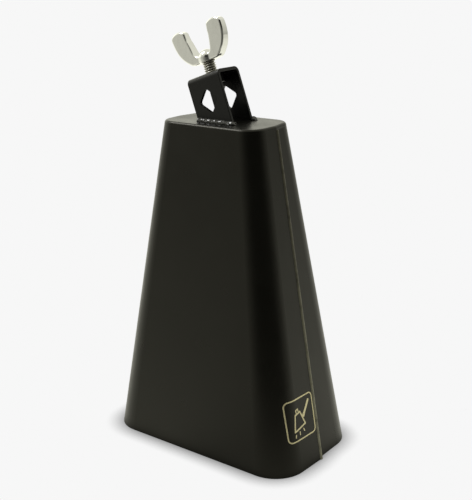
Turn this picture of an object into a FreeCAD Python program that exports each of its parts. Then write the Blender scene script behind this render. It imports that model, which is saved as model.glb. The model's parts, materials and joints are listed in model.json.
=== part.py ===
import FreeCAD, Part
import math
import os

from FreeCAD import Matrix, Placement, Rotation, Vector

# Cowbell: a tapered sheet-steel bell that stands on its open mouth, with a leaning U bracket on its closed
# top. A wing bolt through the bracket clamps the bell on a rod. Millimetres, +Z up. The origin is the middle
# of the mouth, the broad front plate faces -Y, and the side seams face +X and -X.

# ---- driving dimensions ----
BELL_HEIGHT = 203.0       # mouth to the crown's outer face
SHEET = 1.6               # wall of the bell
CROWN_RIM = 2.3           # height of the crown plate's turned-down edge
CROWN_FOLD = 1.8          # outer radius of that fold

# One horizontal outline of the bell: plate width and depth, corner radius, and the front flange's free edge
# (the seam), as its distance from the middle and its place in depth.
MOUTH = {"width": 140.6, "depth": 81.8, "corner": 20.2, "seam_x": 70.8, "seam_y": -1.5}
CROWN = {"width": 72.8, "depth": 40.9, "corner": 11.1, "seam_x": 36.8, "seam_y": 0.3}
LAP = 8.0                 # how far the rear flange tucks under the front one
SEAM_WELD_TOE = 0.5       # the seam's bead, on the front flange, back from its free edge
SEAM_WELD_CROWN = 0.5     # its crest, above the front flange
SEAM_WELD_LEG = 1.3       # its reach on the rear flange

BRACKET_LEAN = 19.5       # degrees, towards -X
BRACKET_SHEET = 2.0
BRACKET_EDGE = 0.35       # rounding of the strap's cut edges
BRACKET_WIDTH = 25.0
BRACKET_DEPTH = 20.0      # over both legs
BRACKET_RISE = 29.2       # crown to the strap's outer face, along the lean
BRACKET_BEND = 3.4        # outer bend radius
ROD_HOLE_SIDE = 10.7      # square hole on its corner, for a 9.5 mm rod
ROD_HOLE_RISE = 13.4      # crown to the hole's centre, along the lean
ROD_HOLE_CORNER = 1.7
FOOT_WELD_HEIGHT = 2.3
FOOT_WELD_REACH = 2.6
FOOT_WELD_OVERRUN = 0.5   # past each end of the leg's foot

THREAD_MAJOR = 7.94       # 5/16-18 thread
RUNNING_CLEARANCE = 0.05  # radial
STRAP_HOLE_CLEARANCE = 0.3
NUT_ACROSS_FLATS = 12.7
NUT_HEIGHT = 4.8
NUT_CHAMFER = 0.5
STUD_REACH = 15.9         # below the wing's underside
STUD_CHAMFER = 0.8
WING_LIFT = 7.1           # strap to the wing's underside, as stored
WING_YAW = -4.0           # degrees, turn of the wings about the bolt's axis

WING_ROOT_THICKNESS = 6.8
WING_TIP_THICKNESS = 4.6
WING_ROUNDING = 1.2       # of every edge round the wings
WING_SKEW = 0.085         # sideways lean of both wings off the bolt's axis, towards -X, per unit of height
WING_BARREL = 10.6        # diameter of the boss round the stud
WING_DOME = 7.5           # height of the boss's round top
WING_BARREL_FOOT = 0.8    # rounding of the boss's lower edge
WING_BLEND = 1.4          # radius of the hollow where the boss grows out of the wings
WING_SOCKET = 4.4         # depth of the stud's socket in the boss

# Half of the cast wings' outline, in its own plane: out from the bolt's axis, and up from its underside.
WING_INNER = [(0, 4.4), (3.4, 4.4), (5.9, 5.3), (7.6, 9.0), (8.8, 14.6), (9.7, 20.9)]
WING_TIP = [(9.7, 20.9), (15.6, 22.7), (21.3, 20.6)]
WING_OUTER = [(21.3, 20.6), (21.2, 16.0), (19.5, 9.6), (16.2, 4.6), (12.0, 1.0), (7.6, 0)]
WING_INNER_END = (0.15, 1.0)   # the inner side's direction where it meets the tip
WING_OUTER_START = (0.12, -1.0)
WING_TIP_INNER_RADIUS = 1.8
WING_TIP_OUTER_RADIUS = 2.8

# The badge is printed on the right-hand front flange, beside the seam, and wraps on to the corner.
BADGE_INK = 0.1
BADGE_WIDTH = 25.8
BADGE_HEIGHT = 25.6
BADGE_CORNER = 3.2
BADGE_LINE = 0.8
BADGE_FROM_SEAM = 1.0
BADGE_BOTTOM = 19.2

# Its motif, from the badge's middle: across towards the seam, and up.
BADGE_BELL = [(-7.0, -6.6), (3.4, -4.4), (-0.4, 4.2), (-5.2, 3.2), (-7.0, -6.6)]
BADGE_MOUNT = [(-3.9, 3.5), (-4.2, 6.0), (-2.3, 6.4), (-1.8, 3.9)]
BADGE_STICK = [(3.2, 1.6), (8.6, 8.4)]
BADGE_STICK_TIP = [(2.6, 0.8), (3.2, 1.6)]
BADGE_SOUND = [[(-6.4, -8.6), (-6.8, -10.0)], [(-2.6, -7.8), (-2.6, -9.4)], [(1.2, -7.0), (1.8, -8.4)]]
BADGE_BOLD = 1.0
BADGE_FINE = 0.8
BADGE_STICK_WIDTH = 1.7
BADGE_TIP_WIDTH = 2.2

# ---- worked out from those ----
RADIAL = math.radians(BRACKET_LEAN)
LEAN_UP = Vector(-math.sin(RADIAL), 0, math.cos(RADIAL))
CROWN_CENTRE = Vector(0, 0, BELL_HEIGHT)
STUD_RADIUS = THREAD_MAJOR / 2 - RUNNING_CLEARANCE
BORE_RADIUS = THREAD_MAJOR / 2
BEYOND = 20.0             # how far a cutting shape runs past what it cuts
TOUCHING = 1e-4           # closer than this is the same place


# ---- the bell's outlines ----
def tangent_point(point, centre, radius, side):
    """Where the line from point touches the circle; side +1 or -1 picks one of the two tangents."""
    reach = math.hypot(point[0] - centre[0], point[1] - centre[1])
    bearing = math.atan2(point[1] - centre[1], point[0] - centre[0])
    angle = bearing + side * math.acos(radius / reach)
    return centre[0] + radius * math.cos(angle), centre[1] + radius * math.sin(angle)


def moved(point, direction, distance):
    """The point moved sideways, to the left of a direction."""
    length = math.hypot(*direction)
    return point[0] - direction[1] / length * distance, point[1] + direction[0] / length * distance


def flank(section, facing, seam_point, narrower, inward):
    """Points of one right-hand half outline, from the plate's middle to the seam.

    facing is -1 for the front half and +1 for the rear one. Returns the plate's end, the corner's middle,
    the corner's end and the seam's end, all moved inward by the given distance.
    """
    radius = section["corner"]
    centre = (section["width"] / 2 - narrower - radius, facing * (section["depth"] / 2 - radius))
    touch = tangent_point(seam_point, centre, radius, facing)
    start = facing * math.pi / 2
    end = math.atan2(touch[1] - centre[1], touch[0] - centre[0])
    middle = (start + end) / 2
    inner = radius - inward

    def on_corner(angle):
        return centre[0] + inner * math.cos(angle), centre[1] + inner * math.sin(angle)

    direction = (seam_point[0] - touch[0], seam_point[1] - touch[1])
    return on_corner(start), on_corner(middle), on_corner(end), moved(seam_point, direction, -facing * inward)


def front_seam(section):
    return section["seam_x"], section["seam_y"]


def rear_seam(section):
    """The front flange's inner edge at the seam, where the rear sheet's outer face meets it."""
    return flank(section, -1, front_seam(section), 0, SHEET)[3]


def between(start, end, distance):
    """The point at a distance from start, towards end."""
    share = distance / math.hypot(end[0] - start[0], end[1] - start[1])
    return start[0] + (end[0] - start[0]) * share, start[1] + (end[1] - start[1]) * share


def at_height(point, z):
    return Vector(point[0], point[1], z)


def mirrored(point):
    return -point[0], point[1]


def half_edges(points, z, extra=()):
    """Edges of a half bell's outline from the left seam, round the plate, to the right seam."""
    plate_end, corner, corner_end, seam_end = points
    tail = [seam_end, *extra]
    left = [at_height(mirrored(p), z) for p in reversed(tail)]
    right = [at_height(p, z) for p in tail]
    edges = [Part.makeLine(a, b) for a, b in zip(left, left[1:])]
    edges.append(Part.makeLine(left[-1], at_height(mirrored(corner_end), z)))
    edges.append(Part.Arc(*[at_height(mirrored(p), z) for p in (corner_end, corner, plate_end)]).toShape())
    edges.append(Part.makeLine(at_height(mirrored(plate_end), z), at_height(plate_end, z)))
    edges.append(Part.Arc(*[at_height(p, z) for p in (plate_end, corner, corner_end)]).toShape())
    edges.append(Part.makeLine(at_height(corner_end, z), right[0]))
    edges += [Part.makeLine(a, b) for a, b in zip(right, right[1:])]
    return edges


def closed_between(outer, inner):
    """A closed wire from two open runs of edges that start and end on the same sides."""
    outer_start = outer[0].Vertexes[0].Point
    outer_end = outer[-1].Vertexes[-1].Point
    inner_start = inner[0].Vertexes[0].Point
    inner_end = inner[-1].Vertexes[-1].Point
    caps = [Part.makeLine(outer_end, inner_end), Part.makeLine(inner_start, outer_start)]
    return Part.Wire(Part.__sortEdges__(outer + inner + caps))


def tuck(section, inward):
    """The end of the rear flange, under the front one, moved inward with the sheet."""
    touch, seam_end = flank(section, -1, front_seam(section), 0, SHEET + inward)[2:]
    return between(seam_end, touch, LAP)


def rear_inner_seam(section):
    """Where the rear flange's inner faces meet at its bend: the crossing of the two moved lines."""
    a1, a2 = flank(section, 1, rear_seam(section), SHEET, SHEET)[2:]
    b1, b2 = flank(section, -1, front_seam(section), 0, 2 * SHEET)[2:]
    ax, ay = a2[0] - a1[0], a2[1] - a1[1]
    bx, by = b2[0] - b1[0], b2[1] - b1[1]
    share = ((b1[0] - a1[0]) * by - (b1[1] - a1[1]) * bx) / (ax * by - ay * bx)
    return a1[0] + ax * share, a1[1] + ay * share


def front_wire(section, z):
    outer = half_edges(flank(section, -1, front_seam(section), 0, 0), z)
    inner = half_edges(flank(section, -1, front_seam(section), 0, SHEET), z)
    return closed_between(outer, inner)


def rear_wire(section, z):
    outer = half_edges(flank(section, 1, rear_seam(section), SHEET, 0), z, [tuck(section, 0)])
    plate_end, corner, corner_end = flank(section, 1, rear_seam(section), SHEET, SHEET)[:3]
    inside = (plate_end, corner, corner_end, rear_inner_seam(section))
    inner = half_edges(inside, z, [tuck(section, SHEET)])
    return closed_between(outer, inner)


def crown_wire(section, z, inward):
    """The whole closed outline of the crown: both halves meet at the seam."""
    front = half_edges(flank(section, -1, front_seam(section), 0, inward), z)
    points = list(flank(section, 1, front_seam(section), SHEET, inward))
    points[3] = flank(section, -1, front_seam(section), 0, inward)[3]
    return Part.Wire(Part.__sortEdges__(front + half_edges(points, z)))


def loft(make_wire, *extra):
    wires = [make_wire(MOUTH, 0, *extra), make_wire(CROWN, BELL_HEIGHT, *extra)]
    return Part.makeLoft(wires, True, True)


def slab(bottom, top):
    size = 2 * MOUTH["width"]
    return Part.makeBox(size, size, top - bottom, Vector(-size / 2, -size / 2, bottom))


def edges_at_height(shape, z):
    return [e for e in shape.Edges if all(abs(v.Z - z) < TOUCHING for v in e.Vertexes)]


# ---- the bell's pieces ----
def front_shell():
    return loft(front_wire).common(slab(0, BELL_HEIGHT - CROWN_RIM))


def rear_shell():
    return loft(rear_wire).common(slab(0, BELL_HEIGHT - CROWN_RIM))


def crown_plate():
    outer = loft(crown_wire, 0).common(slab(BELL_HEIGHT - CROWN_RIM, BELL_HEIGHT))
    outer = outer.makeFillet(CROWN_FOLD, edges_at_height(outer, BELL_HEIGHT))
    ceiling = BELL_HEIGHT - SHEET
    inner = loft(crown_wire, SHEET).common(slab(BELL_HEIGHT - 2 * CROWN_RIM, ceiling))
    inner = inner.makeFillet(CROWN_FOLD - SHEET, edges_at_height(inner, ceiling))
    return outer.cut(inner)


def side_weld(side):
    """The raised bead along a seam: over the front flange's free edge and down on to the rear flange."""
    sections = []
    for section, z in ((MOUTH, 0), (CROWN, BELL_HEIGHT)):
        touch, edge = flank(section, -1, front_seam(section), 0, 0)[2:]
        rear_touch, root = flank(section, 1, rear_seam(section), SHEET, 0)[2:]
        front_toe = between(edge, touch, SEAM_WELD_TOE)
        rear_toe = between(root, rear_touch, SEAM_WELD_LEG)
        crest = moved(edge, (edge[0] - touch[0], edge[1] - touch[1]), -SEAM_WELD_CROWN)
        corners = [at_height((side * x, y), z) for x, y in (rear_toe, root, edge, front_toe)]
        bow = Part.Arc(corners[3], at_height((side * crest[0], crest[1]), z), corners[0]).toShape()
        sections.append(Part.Wire([*Part.makePolygon(corners).Edges, bow]))
    weld = Part.makeLoft(sections, True, True).common(slab(0, BELL_HEIGHT - CROWN_RIM))
    return weld.cut(rear_shell()).cut(front_shell())


# ---- the printed badge: a border, and a bell with a stick ----
def ink_skin(section, z):
    """The outline of a thin skin on the front pressing's outer face."""
    outer = half_edges(flank(section, -1, front_seam(section), 0, -BADGE_INK), z)
    inner = half_edges(flank(section, -1, front_seam(section), 0, 0), z)
    return closed_between(outer, inner)


def on_badge(across, up):
    """A point of the badge, measured from its middle: across towards the seam, and up."""
    return Vector(0, across, up)


def rounded_rectangle(width, height, radius):
    w, h = width / 2, height / 2
    mid = radius * (1 - math.sqrt(0.5))
    edges = []
    for x, y in ((1, 1), (-1, 1), (-1, -1), (1, -1)):
        upright = on_badge(x * w, y * (h - radius))
        level = on_badge(x * (w - radius), y * h)
        first, last = (upright, level) if x == y else (level, upright)
        if edges:
            edges.append(Part.makeLine(edges[-1].lastVertex(True).Point, first))
        edges.append(Part.Arc(first, on_badge(x * (w - mid), y * (h - mid)), last).toShape())
    edges.append(Part.makeLine(edges[-1].lastVertex(True).Point, edges[0].firstVertex(True).Point))
    return Part.Face(Part.Wire(edges))


def bar(start, end, width):
    """A straight printed stroke with round ends."""
    along = (on_badge(*end) - on_badge(*start)).normalize()
    side = along.cross(Vector(1, 0, 0)) * (width / 2)
    a, b = on_badge(*start), on_badge(*end)
    return Part.Face(Part.Wire([
        Part.makeLine(a + side, b + side),
        Part.Arc(b + side, b + along * (width / 2), b - side).toShape(),
        Part.makeLine(b - side, a - side),
        Part.Arc(a - side, a - along * (width / 2), a + side).toShape(),
    ]))


def printed(faces):
    """Lay flat shapes of the badge on the flange, as ink of even thickness."""
    middle_height = BADGE_BOTTOM + BADGE_HEIGHT / 2
    slope = (CROWN["seam_y"] - MOUTH["seam_y"]) / BELL_HEIGHT
    seam = MOUTH["seam_y"] + slope * middle_height
    place = Vector(CROWN["width"] / 2, seam - BADGE_FROM_SEAM - BADGE_WIDTH / 2, middle_height)
    tilt = Rotation(Vector(1, 0, 0), -math.degrees(math.atan(slope)))
    prisms = [face.extrude(Vector(MOUTH["width"], 0, 0)) for face in faces]
    prism = prisms[0].fuse(prisms[1:]).removeSplitter() if len(prisms) > 1 else prisms[0]
    prism.Placement = Placement(place, tilt)
    return prism.common(loft(ink_skin))


def badge_border():
    outer = rounded_rectangle(BADGE_WIDTH, BADGE_HEIGHT, BADGE_CORNER)
    hole = rounded_rectangle(BADGE_WIDTH - 2 * BADGE_LINE, BADGE_HEIGHT - 2 * BADGE_LINE,
                             BADGE_CORNER - BADGE_LINE)
    return printed([outer.cut(hole)])


def badge_motif():
    """A bell's outline with its mount, a stick that strikes it, and three short strokes for its sound."""
    strokes = [(a, b, BADGE_BOLD) for a, b in zip(BADGE_BELL, BADGE_BELL[1:])]
    strokes += [(a, b, BADGE_FINE) for a, b in zip(BADGE_MOUNT, BADGE_MOUNT[1:])]
    strokes += [(*stroke, BADGE_FINE) for stroke in BADGE_SOUND]
    strokes += [(*BADGE_STICK, BADGE_STICK_WIDTH), (*BADGE_STICK_TIP, BADGE_TIP_WIDTH)]
    return printed([bar(*stroke) for stroke in strokes])


# ---- the bracket ----
def leaning(shape, turn=0.0, lift=0.0):
    """Place a shape drawn about the crown's centre: turned about its own Z, lifted, then leaned to -X."""
    shape = shape.copy()
    spin = Rotation(Vector(0, 0, 1), turn)
    lean = Rotation(Vector(0, 1, 0), -BRACKET_LEAN)
    shape.Placement = Placement(CROWN_CENTRE + LEAN_UP * lift, lean * spin)
    return shape


def bend_profile(half_depth, top, radius, foot):
    """A closed outline of a strap's outer or inner side, in the YZ plane."""
    inset = radius * (1 - math.sqrt(0.5))
    shoulder, crest = half_depth - radius, top - radius

    def at(y, z):
        return Vector(-BRACKET_WIDTH / 2, y, z)

    def bend(side):
        middle = at(side * (half_depth - inset), top - inset)
        return Part.Arc(at(side * half_depth, crest), middle, at(side * shoulder, top)).toShape()

    return Part.Wire([
        Part.makeLine(at(-half_depth, foot), at(-half_depth, crest)),
        bend(-1),
        Part.makeLine(at(-shoulder, top), at(shoulder, top)),
        bend(1),
        Part.makeLine(at(half_depth, crest), at(half_depth, foot)),
        Part.makeLine(at(half_depth, foot), at(-half_depth, foot)),
    ])


def mounting_bracket():
    across = Vector(BRACKET_WIDTH, 0, 0)
    outside = bend_profile(BRACKET_DEPTH / 2, BRACKET_RISE, BRACKET_BEND, -BEYOND / 2)
    inside = bend_profile(BRACKET_DEPTH / 2 - BRACKET_SHEET, BRACKET_RISE - BRACKET_SHEET,
                          BRACKET_BEND - BRACKET_SHEET, -BEYOND)
    strap = Part.Face(outside).extrude(across).cut(Part.Face(inside).extrude(across))
    strap = strap.makeFillet(BRACKET_EDGE, [e for e in strap.Edges if on_cut_side(e)])
    half = ROD_HOLE_SIDE / 2
    square = Part.makeBox(ROD_HOLE_SIDE, BRACKET_DEPTH + BEYOND, ROD_HOLE_SIDE,
                          Vector(-half, -(BRACKET_DEPTH + BEYOND) / 2, -half))
    square = square.makeFillet(ROD_HOLE_CORNER, [e for e in square.Edges if along_y(e)])
    square.Placement = Placement(Vector(0, 0, ROD_HOLE_RISE), Rotation(Vector(0, 1, 0), 45))
    strap = strap.cut(square)
    hole_radius = BORE_RADIUS + STRAP_HOLE_CLEARANCE
    strap = strap.cut(Part.makeCylinder(hole_radius, BEYOND, Vector(0, 0, BRACKET_RISE - BEYOND / 2)))
    return leaning(strap).cut(slab(0, BELL_HEIGHT))


def on_cut_side(edge):
    """Whether an edge of the strap, before it leans, runs round one of its two cut sides."""
    inside_plane = all(abs(abs(v.X) - BRACKET_WIDTH / 2) < TOUCHING for v in edge.Vertexes)
    above_foot = any(v.Z > -BEYOND / 4 for v in edge.Vertexes)
    return inside_plane and above_foot


def along_y(edge):
    first, last = edge.Vertexes
    return abs(first.Y - last.Y) > BRACKET_DEPTH


def foot_weld(side):
    """Fillet bead along the outside of one leg's foot, its face a quarter of an ellipse."""
    length = BRACKET_WIDTH / math.cos(RADIAL) + 2 * FOOT_WELD_OVERRUN
    ellipse = Part.Ellipse(Vector(0, 0, 0), FOOT_WELD_REACH, FOOT_WELD_HEIGHT)
    bead = Part.Face(Part.Wire([
        Part.makeLine(Vector(0, 0, 0), Vector(FOOT_WELD_REACH, 0, 0)),
        ellipse.toShape(0, math.pi / 2),
        Part.makeLine(Vector(0, FOOT_WELD_HEIGHT, 0), Vector(0, 0, 0)),
    ])).extrude(Vector(0, 0, length))
    # the section's own X runs away from the leg, its Y runs up and its length runs along the crown
    outward = Vector(0, side, 0)
    up = Vector(0, 0, 1)
    along = outward.cross(up)
    start = CROWN_CENTRE + outward * (BRACKET_DEPTH / 2) - along * (length / 2)
    bead.transformShape(Matrix(outward.x, up.x, along.x, start.x,
                               outward.y, up.y, along.y, start.y,
                               outward.z, up.z, along.z, start.z))
    return bead


# ---- the clamp ----
def clamp_nut():
    corner = NUT_ACROSS_FLATS / math.sqrt(3)
    ring = [Vector(corner * math.cos(math.radians(60 * i)), corner * math.sin(math.radians(60 * i)), 0)
            for i in range(7)]
    nut = Part.Face(Part.makePolygon(ring)).extrude(Vector(0, 0, NUT_HEIGHT))
    cone = Part.makeCone(corner - NUT_CHAMFER, corner - NUT_CHAMFER + NUT_HEIGHT, NUT_HEIGHT)
    nut = nut.common(cone)
    nut = nut.cut(Part.makeCylinder(BORE_RADIUS, NUT_HEIGHT))
    return leaning(nut, lift=BRACKET_RISE - BRACKET_SHEET - NUT_HEIGHT)


def clamp_stud():
    """The wing bolt's stud, from inside the wing's boss down through the strap and the nut."""
    top = WING_SOCKET - RUNNING_CLEARANCE
    stud = Part.makeCylinder(STUD_RADIUS, STUD_REACH + top, Vector(0, 0, -STUD_REACH))
    tip = edges_at_height(stud, -STUD_REACH)
    return leaning(stud.makeChamfer(STUD_CHAMFER, tip), WING_YAW, BRACKET_RISE + WING_LIFT)


def in_wing(point, side):
    """A point of the wings' outline, in the front face of a plate as thick as their root."""
    return Vector(side * point[0] - WING_SKEW * point[1], -WING_ROOT_THICKNESS / 2, point[1])


def half_thickness(height):
    """Half of the wings' thickness at a height above their underside."""
    share = height / WING_TIP[1][1]
    return (WING_ROOT_THICKNESS + (WING_TIP_THICKNESS - WING_ROOT_THICKNESS) * share) / 2


def wing_taper():
    """A wedge as thick as the wings at every height, and longer than they are."""
    top = WING_TIP[1][1] + BEYOND / 4
    low, high = half_thickness(0), half_thickness(top)
    across = Vector(4 * BEYOND, 0, 0)
    corners = [(-low, 0), (low, 0), (high, top), (-high, top), (-low, 0)]
    return Part.Face(Part.makePolygon([Vector(-2 * BEYOND, y, z) for y, z in corners])).extrude(across)


def spline(points, start, end):
    """A smooth curve through points, with its directions at both ends."""
    curve = Part.BSplineCurve()
    curve.interpolate(Points=points, InitialTangent=start, FinalTangent=end)
    return curve.toShape()


def wing_half(side):
    """One wing as a plain plate with square edges, from the bolt's axis outwards."""
    level = Vector(side, 0, 0)
    inner = spline([in_wing(p, side) for p in WING_INNER], level,
                   Vector(side * WING_INNER_END[0], 0, WING_INNER_END[1]))
    tip = Part.Arc(*[in_wing(p, side) for p in WING_TIP]).toShape()
    outer = spline([in_wing(p, side) for p in WING_OUTER],
                   Vector(side * WING_OUTER_START[0], 0, WING_OUTER_START[1]), -level)
    floor = Part.makeLine(in_wing(WING_OUTER[-1], side), in_wing((0, 0), side))
    axis = Part.makeLine(in_wing((0, 0), side), in_wing(WING_INNER[0], side))
    across = Vector(0, WING_ROOT_THICKNESS, 0)
    plate = Part.Face(Part.Wire([inner, tip, outer, floor, axis])).extrude(across)
    for corner, radius in ((WING_TIP[0], WING_TIP_INNER_RADIUS), (WING_TIP[-1], WING_TIP_OUTER_RADIUS)):
        place = in_wing(corner, side)
        edge = [e for e in plate.Edges
                if all(math.hypot(v.X - place.x, v.Z - place.z) < TOUCHING for v in e.Vertexes)]
        plate = plate.makeFillet(radius, edge)
    return plate


def on_wing_face(edge):
    """Whether an edge of the tapered wings lies in their front or rear face."""
    sides = [v.Y for v in edge.Vertexes]
    on_a_face = all(abs(abs(v.Y) - half_thickness(v.Z)) < TOUCHING for v in edge.Vertexes)
    return on_a_face and min(sides) * max(sides) > 0


def wing_boss():
    """The boss round the stud, with a round top and a rounded lower edge."""
    radius = WING_BARREL / 2
    shoulder = WING_DOME - radius
    barrel = Part.makeCylinder(radius, shoulder)
    barrel = barrel.makeFillet(WING_BARREL_FOOT, edges_at_height(barrel, 0))
    dome = Part.makeSphere(radius, Vector(0, 0, shoulder), Vector(0, 0, 1), 0, 90, 360)
    return barrel.fuse(dome).removeSplitter()


def boss_joints(wings):
    """Edges on the boss's skin that part it from the wings' faces."""
    radius = WING_BARREL / 2
    shoulder = WING_DOME - radius
    found = []
    for edge in wings.Edges:
        middle = edge.valueAt((edge.FirstParameter + edge.LastParameter) / 2)
        away = math.hypot(middle.x, middle.y, max(0, middle.z - shoulder))
        on_skin = abs(away - radius) < TOUCHING and middle.z > WING_BARREL_FOOT + TOUCHING
        surfaces = [face.Surface for face in wings.ancestorsOfType(edge, Part.Face)]
        beside_wing = any(not isinstance(s, (Part.Cylinder, Part.Sphere)) for s in surfaces)
        if on_skin and beside_wing:
            found.append(edge)
    return found


def wing_head():
    wings = wing_half(1).fuse(wing_half(-1)).removeSplitter().common(wing_taper())
    wings = wings.makeFillet(WING_ROUNDING, [e for e in wings.Edges if on_wing_face(e)])
    wings = wings.fuse(wing_boss()).removeSplitter()
    wings = wings.makeFillet(WING_BLEND, boss_joints(wings))
    wings = wings.cut(Part.makeCylinder(BORE_RADIUS, WING_SOCKET + BEYOND, Vector(0, 0, -BEYOND)))
    return leaning(wings, WING_YAW, BRACKET_RISE + WING_LIFT)


PIECES = {
    "front_shell": front_shell(),
    "rear_shell": rear_shell(),
    "crown_plate": crown_plate(),
    "side_weld_right": side_weld(1),
    "side_weld_left": side_weld(-1),
    "mounting_bracket": mounting_bracket(),
    "bracket_weld_front": foot_weld(-1),
    "bracket_weld_rear": foot_weld(1),
    "badge_border": badge_border(),
    "badge_motif": badge_motif(),
    "clamp_nut": clamp_nut(),
    "clamp_stud": clamp_stud(),
    "wing_head": wing_head(),
}

os.makedirs("parts", exist_ok=True)
for name, shape in PIECES.items():
    if not shape.isValid() or not shape.Solids:
        raise SystemExit(f"{name} is not a valid solid")
    if len(shape.Solids) > 1:
        shape = Part.makeCompound(shape.Solids)
    else:
        shape = shape.Solids[0]
    shape.exportStep(f"parts/{name}.step")
    box = shape.optimalBoundingBox(False)
    print(f"{name}: {len(shape.Solids)} solids, {shape.Volume:.0f} mm3, z {box.ZMin:.2f} to {box.ZMax:.2f}")
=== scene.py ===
import bmesh
import bpy
import json
import math

from mathutils import Matrix, Vector, noise


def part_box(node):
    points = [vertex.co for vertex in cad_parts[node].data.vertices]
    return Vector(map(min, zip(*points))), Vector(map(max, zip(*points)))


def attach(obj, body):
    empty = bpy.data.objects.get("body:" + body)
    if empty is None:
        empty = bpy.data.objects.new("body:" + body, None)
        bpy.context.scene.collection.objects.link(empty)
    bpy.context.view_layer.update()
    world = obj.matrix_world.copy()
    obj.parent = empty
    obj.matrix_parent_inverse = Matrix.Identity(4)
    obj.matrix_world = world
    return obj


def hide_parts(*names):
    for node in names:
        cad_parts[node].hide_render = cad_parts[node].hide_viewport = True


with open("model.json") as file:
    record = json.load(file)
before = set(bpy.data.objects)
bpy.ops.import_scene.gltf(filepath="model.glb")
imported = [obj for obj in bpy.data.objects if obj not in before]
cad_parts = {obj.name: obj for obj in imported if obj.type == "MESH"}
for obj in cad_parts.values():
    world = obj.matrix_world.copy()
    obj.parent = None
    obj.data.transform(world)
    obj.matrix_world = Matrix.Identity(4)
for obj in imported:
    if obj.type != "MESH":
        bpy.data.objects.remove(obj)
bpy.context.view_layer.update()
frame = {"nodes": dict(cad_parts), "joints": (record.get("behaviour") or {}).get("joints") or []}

# Cowbell on a pale floor. Metres, +Z up, the origin is the middle of the mouth on the floor.
MM = 0.001
joints = {joint["name"]: joint for joint in frame["joints"]}
bolt_axis = Vector(joints["wing_turn"]["axis"])
wing_base = Vector(joints["wing_turn"]["pos_m"])
crown_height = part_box("crown_plate")[1].z
leg_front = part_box("mounting_bracket")[0].y
leg_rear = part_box("mounting_bracket")[1].y

# ---- the stud's thread ----
THREAD_RADIUS = 3.92 * MM
THREAD_DEPTH = 0.80 * MM
THREAD_PITCH = 25.4 / 18 * MM
THREAD_CREST = 0.14          # share of half a pitch that is flat crest
THREAD_FLANK = 0.66          # share that is flank
THREAD_ROOT_POWER = 1.15     # over 1 rounds the root
STUD_BOTTOM = -15.9 * MM     # from the wings' underside, along the bolt's axis
STUD_TOP = 4.35 * MM
STUD_TIP = 0.8 * MM          # chamfer at the lower end
TURN_STEPS = 60
PITCH_STEPS = 12

# ---- camera ----
CAMERA_AZIMUTH = math.radians(38.062)
CAMERA_ELEVATION = math.radians(17.125)
CAMERA_ROLL = math.radians(-1.007)
CAMERA_DISTANCE = 612.67 * MM
CAMERA_RIGHT = 4.813 * MM
CAMERA_UP = 19.438 * MM
CAMERA_LENS = 70.18
CAMERA_SENSOR = 36.0


def make_camera():
    back = Vector((math.sin(CAMERA_AZIMUTH) * math.cos(CAMERA_ELEVATION),
                   -math.cos(CAMERA_AZIMUTH) * math.cos(CAMERA_ELEVATION), math.sin(CAMERA_ELEVATION)))
    right = Vector((math.cos(CAMERA_AZIMUTH), math.sin(CAMERA_AZIMUTH), 0))
    up = back.cross(right)
    target = Vector((0, 0, crown_height / 2))
    eye = target + back * CAMERA_DISTANCE + right * CAMERA_RIGHT + up * CAMERA_UP
    turned_right = right * math.cos(CAMERA_ROLL) + up * math.sin(CAMERA_ROLL)
    turned_up = up * math.cos(CAMERA_ROLL) - right * math.sin(CAMERA_ROLL)
    camera = bpy.data.objects.new("camera", bpy.data.cameras.new("camera"))
    camera.data.lens = CAMERA_LENS
    camera.data.sensor_width = CAMERA_SENSOR
    camera.data.clip_start = 0.01
    camera.data.clip_end = 50
    camera.matrix_world = Matrix((turned_right, turned_up, back)).transposed().to_4x4()
    camera.location = eye
    bpy.context.scene.collection.objects.link(camera)
    bpy.context.scene.camera = camera


# ---- shader nodes ----
def add(tree, kind, inputs=None, **settings):
    """One shader node. An input's value is a number, a colour or another node's output."""
    made = tree.nodes.new("ShaderNode" + kind)
    for key, value in settings.items():
        setattr(made, key, value)
    for key, value in (inputs or {}).items():
        if isinstance(value, bpy.types.NodeSocket):
            tree.links.new(value, made.inputs[key])
        else:
            made.inputs[key].default_value = value
    return made


def blank(material):
    material.use_nodes = True
    material.node_tree.nodes.clear()
    return material.node_tree


def noise_value(tree, place, size, detail=2.0, roughness=0.5):
    """Noise from 0 to 1 whose features are about size across."""
    return add(tree, "TexNoise", {"Vector": place, "Scale": 1 / size, "Detail": detail,
                                  "Roughness": roughness}).outputs["Fac"]


def ranged(tree, value, low, high, out_low, out_high):
    return add(tree, "MapRange", {"Value": value, "From Min": low, "From Max": high, "To Min": out_low,
                                  "To Max": out_high}).outputs["Result"]


def calc(tree, operation, first, second):
    return add(tree, "Math", {0: first, 1: second}, operation=operation).outputs[0]


def blended(tree, share, first, second):
    mix = add(tree, "Mix", data_type="RGBA")
    for socket, value in ((mix.inputs["Factor"], share), (mix.inputs[6], first), (mix.inputs[7], second)):
        if isinstance(value, bpy.types.NodeSocket):
            tree.links.new(value, socket)
        else:
            socket.default_value = (*value, 1) if isinstance(value, tuple) else value
    return mix.outputs[2]


def mixed(tree, share, first, second):
    mix = add(tree, "Mix", data_type="FLOAT")
    for socket, value in ((mix.inputs["Factor"], share), (mix.inputs[2], first), (mix.inputs[3], second)):
        if isinstance(value, bpy.types.NodeSocket):
            tree.links.new(value, socket)
        else:
            socket.default_value = value
    return mix.outputs[0]


def edge_share(tree, radius):
    """0 on flat metal, rising to 1 on an outer edge."""
    bevel = add(tree, "Bevel", {"Radius": radius}, samples=6).outputs["Normal"]
    flat = add(tree, "NewGeometry").outputs["Normal"]
    dot = add(tree, "VectorMath", {0: bevel, 1: flat}, operation="DOT_PRODUCT").outputs["Value"]
    return ranged(tree, dot, 0.995, 0.86, 0, 1)


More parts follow.
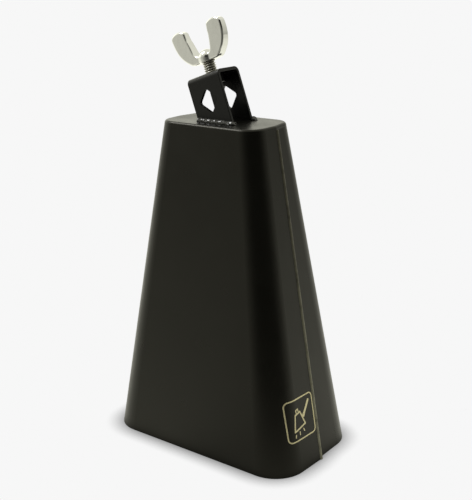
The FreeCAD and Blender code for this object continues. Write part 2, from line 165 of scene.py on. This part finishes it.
def surface(tree, colour, roughness, normal, **fixed):
    sockets = {"Base Color": colour, "Roughness": roughness, "Normal": normal}
    for key, value in fixed.items():
        sockets[key.replace("_", " ")] = value
    shader = add(tree, "BsdfPrincipled", sockets)
    output = add(tree, "OutputMaterial")
    tree.links.new(shader.outputs[0], output.inputs[0])


def bumps(tree, layers):
    """Stacked bumps: (height, distance) pairs, coarse ones first."""
    normal = None
    for height, distance in layers:
        sockets = {"Height": height, "Distance": distance, "Strength": 1.0}
        if normal is not None:
            sockets["Normal"] = normal
        normal = add(tree, "Bump", sockets).outputs["Normal"]
    return normal


# ---- materials ----
def painted(name, deep, pale, worn, rough, peel, specular, tint):
    """Powder coat over steel: soft colour clouds, orange peel, rubbed edges and a satin that varies."""
    material = bpy.data.materials.new(name)
    tree = blank(material)
    place = add(tree, "TexCoord").outputs["Object"]
    clouds = noise_value(tree, place, 55 * MM, 3.0)
    smudges = noise_value(tree, place, 14 * MM, 4.0, 0.6)
    specks = noise_value(tree, place, 1.1 * MM, 1.0)
    rubbed = calc(tree, "MULTIPLY", edge_share(tree, 0.7 * MM), ranged(tree, smudges, 0.35, 0.7, 0.25, 1.0))
    colour = blended(tree, ranged(tree, clouds, 0.35, 0.65, 0, 1), deep, pale)
    colour = blended(tree, ranged(tree, specks, 0.66, 0.8, 0, 0.35), colour, worn)
    colour = blended(tree, rubbed, colour, worn)
    roughness = ranged(tree, smudges, 0.3, 0.7, rough - 0.04, rough + 0.05)
    roughness = calc(tree, "SUBTRACT", roughness, calc(tree, "MULTIPLY", rubbed, 0.08))
    waves = noise_value(tree, place, 30 * MM, 1.0)
    skin = noise_value(tree, place, 1.6 * MM, 2.0)
    grain = noise_value(tree, place, 0.35 * MM, 1.0)
    normal = bumps(tree, [(waves, 0.10 * MM), (skin, peel), (grain, peel * 0.3)])
    surface(tree, colour, roughness, normal, Specular_IOR_Level=specular, Specular_Tint=(*tint, 1))
    return material


def seam_painted_highlight(name, deep, painted_highlight_top, painted_highlight_foot):
    """The seam's proud bead, with a painted highlight in its colour along the crest, brighter towards the
    mouth.
    """
    material = bpy.data.materials.new(name)
    tree = blank(material)
    place = add(tree, "TexCoord").outputs["Object"]
    height = add(tree, "SeparateXYZ", {0: place}).outputs["Z"]
    # Painted highlight: dim near the crown, bright near the mouth.
    painted_highlight = blended(tree, ranged(tree, height, 0.03, 0.75 * crown_height, 1, 0), painted_highlight_top, painted_highlight_foot)
    patches = noise_value(tree, place, 7 * MM, 4.0, 0.6)
    grit = noise_value(tree, place, 0.5 * MM, 2.0)
    # Patches let the dark coat show through the painted highlight.
    colour = blended(tree, ranged(tree, patches, 0.30, 0.55, 0.45, 1), deep, painted_highlight)
    colour = blended(tree, ranged(tree, grit, 0.6, 0.75, 0, 0.5), colour, deep)
    roughness = ranged(tree, patches, 0.3, 0.7, 0.55, 0.40)
    normal = bumps(tree, [(patches, 0.05 * MM), (grit, 0.02 * MM)])
    surface(tree, colour, roughness, normal, Specular_IOR_Level=0.25)
    return material


def chrome(name, colour, rough):
    """Polished plate: faint swirls, fine scratches, a haze of finger marks, and a painted highlight along
    the edges.
    """
    material = bpy.data.materials.new(name)
    tree = blank(material)
    place = add(tree, "TexCoord").outputs["Object"]
    haze = noise_value(tree, place, 6 * MM, 4.0, 0.65)
    ripples = noise_value(tree, place, 4 * MM, 1.0)
    stretched = add(tree, "Mapping", {"Vector": place, "Scale": (1, 1, 14)}).outputs[0]
    scratches = noise_value(tree, stretched, 0.9 * MM, 2.0)
    tone = blended(tree, ranged(tree, haze, 0.4, 0.75, 0, 0.35), colour, tuple(c * 0.85 for c in colour))
    # Painted highlight: the colour is lighter along the edges.
    tone = blended(tree, edge_share(tree, 0.35 * MM), tone, tuple(min(1, c * 1.15) for c in colour))
    roughness = ranged(tree, haze, 0.35, 0.75, rough, rough + 0.08)
    normal = bumps(tree, [(ripples, 0.05 * MM), (scratches, 0.004 * MM)])
    surface(tree, tone, roughness, normal, Metallic=1.0)
    return material


def rolled_thread(name, root, crest, rough):
    """Plated thread: painted shade in the roots, painted highlight on the crests, patchy grime, and painted
    shade close under the wings.
    """
    material = bpy.data.materials.new(name)
    tree = blank(material)
    place = add(tree, "TexCoord").outputs["Object"]
    axis = tuple(bolt_axis)
    from_base = add(tree, "VectorMath", {0: place, 1: tuple(wing_base)}, operation="SUBTRACT").outputs[0]
    sideways = add(tree, "VectorMath", {0: from_base, 1: axis}, operation="CROSS_PRODUCT").outputs[0]
    radius = add(tree, "VectorMath", {0: sideways}, operation="LENGTH").outputs["Value"]
    along = add(tree, "VectorMath", {0: from_base, 1: axis}, operation="DOT_PRODUCT").outputs["Value"]
    grime = noise_value(tree, place, 2.5 * MM, 3.0, 0.6)
    # Painted shade in the roots and painted highlight on the crests, by distance from the axis.
    root_shade_to = THREAD_RADIUS - 0.85 * THREAD_DEPTH
    crest_highlight_from = THREAD_RADIUS - 0.40 * THREAD_DEPTH
    share = ranged(tree, radius, root_shade_to, crest_highlight_from, 0, 1)
    share = calc(tree, "MULTIPLY", share, ranged(tree, grime, 0.3, 0.65, 1.0, 0.75))
    # Painted shade close under the wings: the crests dim towards the wings' underside.
    share = calc(tree, "MULTIPLY", share, ranged(tree, along, -2.2 * MM, -0.2 * MM, 1.0, 0.5))
    tone = blended(tree, share, root, crest)
    roughness = ranged(tree, share, 0, 1, rough + 0.22, rough)
    flecks = noise_value(tree, place, 0.5 * MM, 2.0)
    surface(tree, tone, roughness, bumps(tree, [(grime, 0.03 * MM), (flecks, 0.006 * MM)]), Metallic=1.0)
    return material


def printed_gold(name, colour, dull):
    """Screen-printed gold ink: fine flake, duller patches and pinholes where the coat shows."""
    material = bpy.data.materials.new(name)
    tree = blank(material)
    place = add(tree, "TexCoord").outputs["Object"]
    flake = noise_value(tree, place, 0.22 * MM, 1.0)
    patches = noise_value(tree, place, 3 * MM, 3.0)
    tone = blended(tree, ranged(tree, patches, 0.35, 0.7, 0, 0.6), colour, dull)
    tone = blended(tree, ranged(tree, flake, 0.62, 0.74, 0, 0.7), tone, tuple(c * 0.35 for c in dull))
    roughness = ranged(tree, flake, 0.3, 0.7, 0.3, 0.5)
    surface(tree, tone, roughness, bumps(tree, [(flake, 0.01 * MM)]), Metallic=0.55)
    return material


# ---- the stage ----
FLOOR_SIZE = 30.0
FLOOR_LEVEL = 0.93
FLOOR_GAP = 0.05 * MM               # keeps the floor just clear of the mouth's rim
SHADOW_REACH = 13 * MM
SHADOW_POWER = 1.7                  # over 1 deepens the contact shadow
STUDIO_LEVEL = 1.15                 # of the light that reaches the object, over what the camera sees
STUDIO_TINT = (1.0, 0.995, 0.86, 1.0)
ROOM_AZIMUTH = math.radians(50)     # the middle of the dim room on the camera's side
ROOM_LEVEL = 0.085
ROOM_SIDE = (math.sin(ROOM_AZIMUTH), -math.cos(ROOM_AZIMUTH), 0)
SEAM_SIDE = (math.cos(ROOM_AZIMUTH), math.sin(ROOM_AZIMUTH), 0)
BACKDROP_AZIMUTH = math.radians(250)
BACKDROP_SIDE = (math.sin(BACKDROP_AZIMUTH), -math.cos(BACKDROP_AZIMUTH), 0)

# Levels round the horizon that the object reflects, as shares of STUDIO_LEVEL.
FLOOR_SIDES = 0.60
FLOOR_BACKDROP = 1.0
FLOOR_AT_A_DISTANCE = 0.80          # on top of those, from 2 m away
FLOOR_NEAR_SHARE = 0.35             # of the plain floor's evenness, close to the bell
FLOOR_SEAM_BIAS = (0.85, 1.2)       # away from the seam's side, and on it
WORLD_SIDES = 0.38
WORLD_BACKDROP = 1.08
WORLD_SEAM_BIAS = (0.96, 1.1)
WORLD_AT_HORIZON = 0.75
WORLD_OVERHEAD = 0.6


def facing(tree, direction, side):
    """1 straight towards a side of the stage, -1 straight away from it, by compass direction alone."""
    level = add(tree, "VectorMath", {0: direction, 1: (1, 1, 0)}, operation="MULTIPLY").outputs[0]
    level = add(tree, "VectorMath", {0: level}, operation="NORMALIZE").outputs[0]
    return add(tree, "VectorMath", {0: level, 1: side}, operation="DOT_PRODUCT").outputs["Value"]


def by_azimuth(tree, direction, side_level, back_level):
    """Light level round the horizon: little towards the room, then the sides, then the backdrop."""
    toward = facing(tree, direction, ROOM_SIDE)
    behind = facing(tree, direction, BACKDROP_SIDE)
    sides = ranged(tree, toward, 0.80, 0.15, ROOM_LEVEL, side_level)
    backs = ranged(tree, behind, 0.45, 0.85, side_level, back_level)
    near_room = ranged(tree, toward, 0.14, 0.16, 0, 1)
    return mixed(tree, near_room, backs, sides)


def make_floor():
    """A pale floor, plain to the camera apart from the contact shadow, and not seen from below.

    What the object reflects is brighter or darker by compass direction and distance.
    """
    mesh = bpy.data.meshes.new("floor")
    half = FLOOR_SIZE / 2
    corners = [(-half, -half, 0), (half, -half, 0), (half, half, 0), (-half, half, 0)]
    mesh.from_pydata(corners, [], [(0, 1, 2, 3)])
    floor = bpy.data.objects.new("floor", mesh)
    floor.location.z = -FLOOR_GAP
    bpy.context.scene.collection.objects.link(floor)
    material = bpy.data.materials.new("pale_floor")
    tree = blank(material)
    open_sky = add(tree, "AmbientOcclusion", {"Distance": SHADOW_REACH}, samples=16).outputs["AO"]
    shade = calc(tree, "POWER", open_sky, SHADOW_POWER)
    position = add(tree, "NewGeometry").outputs["Position"]
    distance = add(tree, "VectorMath", {0: position}, operation="LENGTH").outputs["Value"]
    near = ranged(tree, distance, 0.10, 0.45, 1, 0)
    far = ranged(tree, distance, 0.4, 2.0, 1.0, FLOOR_AT_A_DISTANCE)
    around = by_azimuth(tree, position, FLOOR_SIDES, FLOOR_BACKDROP)
    around = calc(tree, "MULTIPLY", around, far)
    lit = mixed(tree, near, around, mixed(tree, FLOOR_NEAR_SHARE, around, 1.0))
    seam_bias = ranged(tree, facing(tree, position, SEAM_SIDE), -1, 1, *FLOOR_SEAM_BIAS)
    lit = calc(tree, "MULTIPLY", calc(tree, "MULTIPLY", lit, seam_bias), STUDIO_LEVEL)
    seen = add(tree, "LightPath").outputs["Is Camera Ray"]
    level = calc(tree, "MULTIPLY", mixed(tree, seen, lit, 1.0), shade)
    strength = calc(tree, "MULTIPLY", level, FLOOR_LEVEL)
    tint = blended(tree, seen, STUDIO_TINT[:3], (1, 1, 1))
    glow = add(tree, "Emission", {"Color": tint, "Strength": strength})
    from_below = add(tree, "NewGeometry").outputs["Backfacing"]
    one_sided = add(tree, "MixShader", {0: from_below, 1: glow.outputs[0],
                                        2: add(tree, "BsdfTransparent").outputs[0]})
    output = add(tree, "OutputMaterial")
    tree.links.new(one_sided.outputs[0], output.inputs[0])
    floor.data.materials.append(material)


def make_world():
    """Bright backdrop behind the bell and a dim room in front of it; the camera sees it plain."""
    world = bpy.data.worlds.new("studio")
    world.use_nodes = True
    tree = world.node_tree
    tree.nodes.clear()
    direction = add(tree, "TexCoord").outputs["Generated"]
    toward = facing(tree, direction, ROOM_SIDE)
    around = by_azimuth(tree, direction, WORLD_SIDES, WORLD_BACKDROP)
    height = add(tree, "SeparateXYZ", {0: direction}).outputs["Z"]
    rise = ranged(tree, height, 0.0, 0.16, WORLD_AT_HORIZON, 1.0)
    low = calc(tree, "MULTIPLY", around, rise)
    seam_bias = ranged(tree, facing(tree, direction, SEAM_SIDE), -1, 1, *WORLD_SEAM_BIAS)
    low = calc(tree, "MULTIPLY", low, seam_bias)
    roomward = ranged(tree, toward, 0.3, 0.7, 0, 1)
    low = calc(tree, "MULTIPLY", low, mixed(tree, roomward, 1.0, ranged(tree, height, 0.15, 0.4, 1.0, 0.2)))
    overhead = mixed(tree, roomward, ranged(tree, height, 0.25, 0.6, 0, 1),
                     ranged(tree, height, 0.62, 0.85, 0, 1))
    level = calc(tree, "MULTIPLY", mixed(tree, overhead, low, WORLD_OVERHEAD), STUDIO_LEVEL)
    seen = add(tree, "LightPath").outputs["Is Camera Ray"]
    shown = mixed(tree, seen, level, FLOOR_LEVEL)
    tint = blended(tree, seen, STUDIO_TINT[:3], (1, 1, 1))
    glow = add(tree, "Background", {"Color": tint, "Strength": shown})
    output = add(tree, "OutputWorld")
    tree.links.new(glow.outputs[0], output.inputs[0])
    bpy.context.scene.world = world


# It stands where faces that slope at 45 degrees towards the front reflect it to the camera.
SOFTBOX_SIDE = Vector((-0.589, -0.283, 0.742))
SOFTBOX_DISTANCE = 0.8
SOFTBOX_PLACE = SOFTBOX_SIDE * SOFTBOX_DISTANCE + Vector((0, 0, crown_height))
SOFTBOX_SIZE = (0.30, 0.30)
SOFTBOX_POWER = 2.4


def softbox(name, place, aim, size, power):
    lamp = bpy.data.lights.new(name, "AREA")
    lamp.shape = "RECTANGLE"
    lamp.size, lamp.size_y = size
    lamp.energy = power
    light = bpy.data.objects.new(name, lamp)
    light.location = place
    light.rotation_euler = (Vector(aim) - Vector(place)).to_track_quat("-Z", "Y").to_euler()
    bpy.context.scene.collection.objects.link(light)


# ---- meshes ----
def mesh_object(name, points, faces, smooth=True):
    mesh = bpy.data.meshes.new(name)
    mesh.from_pydata([tuple(p) for p in points], [], faces)
    mesh.validate()
    piece = bpy.data.objects.new(name, mesh)
    bpy.context.scene.collection.objects.link(piece)
    for polygon in mesh.polygons:
        polygon.use_smooth = smooth
    return piece


def thread_radius(phase):
    """Radius along one pitch: a flat crest, a straight flank, a rounded root and a straight flank."""
    away = abs(2 * (phase % 1) - 1)
    share = min(1, max(0, (away - THREAD_CREST) / THREAD_FLANK))
    return THREAD_RADIUS - THREAD_DEPTH * (1 - (1 - share) ** THREAD_ROOT_POWER)


def make_thread():
    """The stud's real helical thread, cut square above and chamfered at its tip."""
    turns = math.ceil((STUD_TOP - STUD_BOTTOM) / THREAD_PITCH) + 2
    rows = turns * PITCH_STEPS
    points, faces = [], []
    for row in range(rows + 1):
        for step in range(TURN_STEPS):
            height = STUD_BOTTOM + THREAD_PITCH * (row / PITCH_STEPS + step / TURN_STEPS - 1.5)
            radius = min(thread_radius(row / PITCH_STEPS),
                         THREAD_RADIUS - STUD_TIP + max(0, height - STUD_BOTTOM))
            angle = 2 * math.pi * step / TURN_STEPS
            points.append((radius * math.cos(angle), radius * math.sin(angle), height))
    for row in range(rows):
        for step in range(TURN_STEPS):
            after = step + 1
            lift = 0
            if after == TURN_STEPS:
                after, lift = 0, PITCH_STEPS
            if row + lift + 1 > rows:
                continue
            faces.append((row * TURN_STEPS + step, (row + lift) * TURN_STEPS + after,
                          (row + lift + 1) * TURN_STEPS + after, (row + 1) * TURN_STEPS + step))
    piece = mesh_object("threaded_stud", points, faces)
    shape = bmesh.new()
    shape.from_mesh(piece.data)
    for height, side in ((STUD_BOTTOM, -1), (STUD_TOP, 1)):
        everything = shape.verts[:] + shape.edges[:] + shape.faces[:]
        cut = bmesh.ops.bisect_plane(shape, geom=everything, plane_co=(0, 0, height), plane_no=(0, 0, side),
                                     clear_outer=True)
        rim = [e for e in cut["geom_cut"] if isinstance(e, bmesh.types.BMEdge)]
        bmesh.ops.contextual_create(shape, geom=rim)
    shape.to_mesh(piece.data)
    shape.free()
    piece.data.transform(bolt_frame())
    finish_piece(piece, "stud", "stud_plating", stud_plating, "clamp_stud")


def bolt_frame():
    """The frame of the bolt's axis, with its origin at the wings' underside."""
    lean = Vector((0, 0, 1)).rotation_difference(bolt_axis)
    return Matrix.Translation(wing_base) @ lean.to_matrix().to_4x4()


def finish_piece(piece, body, slot, material, *nodes):
    piece.data.materials.append(material)
    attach(piece, body)
    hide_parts(*nodes)


BEAD_REACH = 2.4 * MM
BEAD_HEIGHT = 2.2 * MM
BEAD_RIPPLE = 4.2 * MM    # from one lump to the next
BEAD_NOTCH = 0.30         # how much thinner the bead is between two lumps
BEAD_SWELL = 0.22         # slow changes of size along the bead
BEAD_PITS = 0.025
BEAD_END_GAP = 0.5 * MM
BEAD_END = 1.3 * MM       # length of its rounded ends
BEAD_STEP = 0.14 * MM
BEAD_SECTION = 14
LEG_SHEET = 2.0 * MM
ROOT_DEPTH = 0.25 * MM    # how far the bead reaches into the joint


def bead_route(side, low_x, high_x, foot_y):
    """Root points of a bead with their outward directions: along the leg's foot and round its +X end."""
    route = []
    steps = round((high_x - low_x) / BEAD_STEP)
    for i in range(steps + 1):
        route.append((Vector((low_x + (high_x - low_x) * i / steps, foot_y, 0)), Vector((0, side, 0))))
    corner = route[-1][0]
    turn_steps = round(BEAD_REACH * 0.8 / BEAD_STEP)
    for i in range(1, turn_steps + 1):
        angle = math.pi / 2 * i / turn_steps
        route.append((corner, Vector((math.sin(angle), side * math.cos(angle), 0))))
    end_steps = round(LEG_SHEET / BEAD_STEP)
    for i in range(1, end_steps + 1):
        route.append((corner - Vector((0, side * LEG_SHEET * i / end_steps, 0)), Vector((1, 0, 0))))
    return route


def make_bead(name, side, foot_y, node, seed):
    """A hand-laid fillet bead: flat-topped lumps with notches between them, swells and rounded ends."""
    low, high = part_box(node)
    route = bead_route(side, low.x + BEAD_END_GAP, high.x - BEAD_END_GAP, foot_y)
    points, faces = [], []
    travelled = 0
    previous = None
    for index, (root, outward) in enumerate(route):
        middle = root + outward * BEAD_REACH / 2
        travelled += (middle - previous).length if previous is not None else 0
        previous = middle
        from_end = min(index, len(route) - 1 - index) * BEAD_STEP
        end = math.sqrt(max(0.02, 1 - (1 - min(1, from_end / BEAD_END)) ** 2))
        swell = 1 + BEAD_SWELL * noise.noise(Vector((travelled / (4.2 * MM), seed, 0)))
        up = Vector((bolt_axis.x * outward.x, 0, bolt_axis.z ** outward.x)).normalized()
        for k in range(BEAD_SECTION + 1):
            angle = math.pi / 2 * k / BEAD_SECTION
            uneven = 0.35 * noise.noise(Vector((travelled / (5 * MM), seed + 4, 0)))
            phase = travelled / BEAD_RIPPLE + 0.30 * math.sin(2 * angle) + uneven
            ripple = min(1, 1.5 * abs(math.sin(math.pi * phase)))
            pits = noise.noise(Vector((travelled / (0.8 * MM), angle * 2, seed + 9)))
            size = end * swell * (1 - BEAD_NOTCH + BEAD_NOTCH * ripple + BEAD_PITS * pits)
            level = BEAD_HEIGHT * math.sin(angle) ** 0.9 * size
            reach = BEAD_REACH * math.cos(angle) ** 0.9 * size
            points.append(root + outward * reach + up * level + Vector((0, 0, crown_height)))
        points.append(root - outward * ROOT_DEPTH + Vector((0, 0, crown_height - ROOT_DEPTH)))
    ring = BEAD_SECTION + 2
    for i in range(len(route) - 1):
        for k in range(ring):
            a, b = i * ring + k, i * ring + (k + 1) % ring
            quad = (a, b, b + ring, a + ring)
            faces.append(quad if side > 0 else quad[::-1])
    first = tuple(range(ring))
    last = tuple(range((len(route) - 1) * ring, len(route) * ring))
    faces.append(first[::-1] if side > 0 else first)
    faces.append(last if side > 0 else last[::-1])
    piece = mesh_object(name, points, faces)
    finish_piece(piece, "bell", "weld_paint", weld_paint, node)


# ---- the model ----
make_camera()
bpy.context.scene.view_settings.view_transform = "Standard"

shell_paint = painted("satin_black_coat", (0.0022, 0.0021, 0.0017), (0.0040, 0.0038, 0.0031),
                      (0.014, 0.013, 0.011), 0.31, 0.010 * MM, 0.36, (1.0, 0.97, 0.84))
bracket_paint = painted("bracket_black", (0.0025, 0.0025, 0.0022), (0.0045, 0.0045, 0.0040),
                        (0.010, 0.0095, 0.009), 0.30, 0.010 * MM, 0.34, (1.0, 1.0, 1.0))
weld_paint = painted("weld_black", (0.006, 0.006, 0.005), (0.010, 0.010, 0.008), (0.03, 0.029, 0.025),
                     0.12, 0.008 * MM, 1.0, (1.0, 1.0, 1.0))
SEAM_COAT = (0.010, 0.0098, 0.0085)
# Painted highlights on the seam beads: the right seam's is bright, and the left seam's is a dimmer copy,
# painted shade.
SEAM_PAINTED_HIGHLIGHTS = {
    "side_weld_right": seam_painted_highlight("seam_painted_highlight", SEAM_COAT, (0.16, 0.152, 0.115), (0.36, 0.35, 0.26)),
    "side_weld_left": seam_painted_highlight("seam_dimmer_painted_highlight", SEAM_COAT, (0.06, 0.057, 0.043), (0.12, 0.115, 0.09)),
}
wing_chrome = chrome("wing_chrome", (0.97, 0.97, 0.95), 0.05)
# Its dark root colour is painted shade and its near-white crest colour a painted highlight.
stud_plating = rolled_thread("stud_plating", (0.22, 0.21, 0.175), (1.0, 0.99, 0.92), 0.30)
badge_ink = printed_gold("badge_gold", (0.90, 0.82, 0.52), (0.76, 0.67, 0.40))

FINISHES = {
    "shell_paint": shell_paint,
    "bracket_paint": bracket_paint,
    "weld_paint": weld_paint,
    "badge_ink": badge_ink,
    "stud_plating": stud_plating,
    "wing_chrome": wing_chrome,
}
for node in frame["nodes"].values():
    for holder in node.material_slots:
        holder.material = FINISHES[holder.material.name.split(".")[0]]
for seam, finish in SEAM_PAINTED_HIGHLIGHTS.items():
    frame["nodes"][seam].material_slots[0].material = finish

make_world()
make_floor()
softbox("high_left_softbox", SOFTBOX_PLACE, (0, 0, crown_height), SOFTBOX_SIZE, SOFTBOX_POWER)
make_thread()
make_bead("front_foot_bead", -1, leg_front, "bracket_weld_front", 3.0)
make_bead("rear_foot_bead", 1, leg_rear, "bracket_weld_rear", 17.0)
